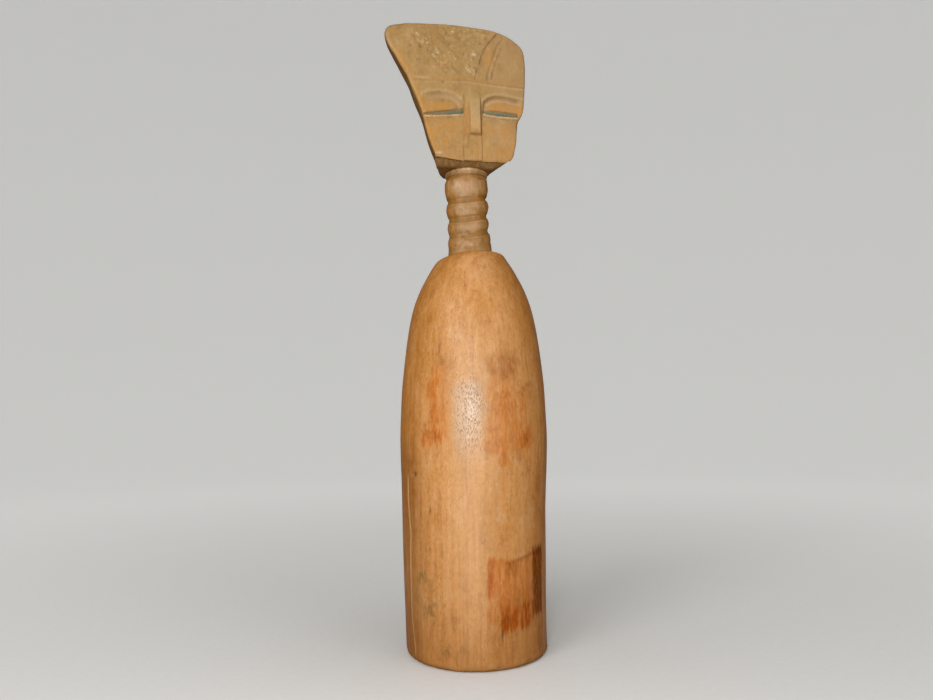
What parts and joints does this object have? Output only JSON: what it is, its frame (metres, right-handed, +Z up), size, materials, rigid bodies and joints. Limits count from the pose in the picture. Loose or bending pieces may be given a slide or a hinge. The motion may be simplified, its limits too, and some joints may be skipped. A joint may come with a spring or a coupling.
{
  "type": "guiro",
  "caption": "Carved wooden doll guiro: hollow bullet-shaped resonator with a notched back and sound slot, ringed neck and flat slab head with a simple face.",
  "frame": {"origin": "centre of the flat base face", "axes": "+Z up along the resonator's axis toward the head, face toward -Y, the head's long flare toward -X"},
  "size_m": [0.0992, 0.088, 0.3757],
  "materials": {
    "body_wood": "hand-rubbed satin, oiled, with fine open grain along the length",
    "plug_wood": "sawn end grain, unpolished",
    "dowel_wood": "plain turned dowel",
    "neck_wood": "knife-cut facets, worn satin",
    "head_wood": "knife-cut, matte",
    "eye_paste": "dull blue-green filler"
  },
  "bodies": {
    "root": {"body": "body_wood", "base_plug": "plug_wood", "neck_dowel": "dowel_wood", "neck": "neck_wood", "head_dowel": "dowel_wood", "head": "head_wood", "left_eye_inlay": "eye_paste", "right_eye_inlay": "eye_paste"}
  },
  "joints": []
}
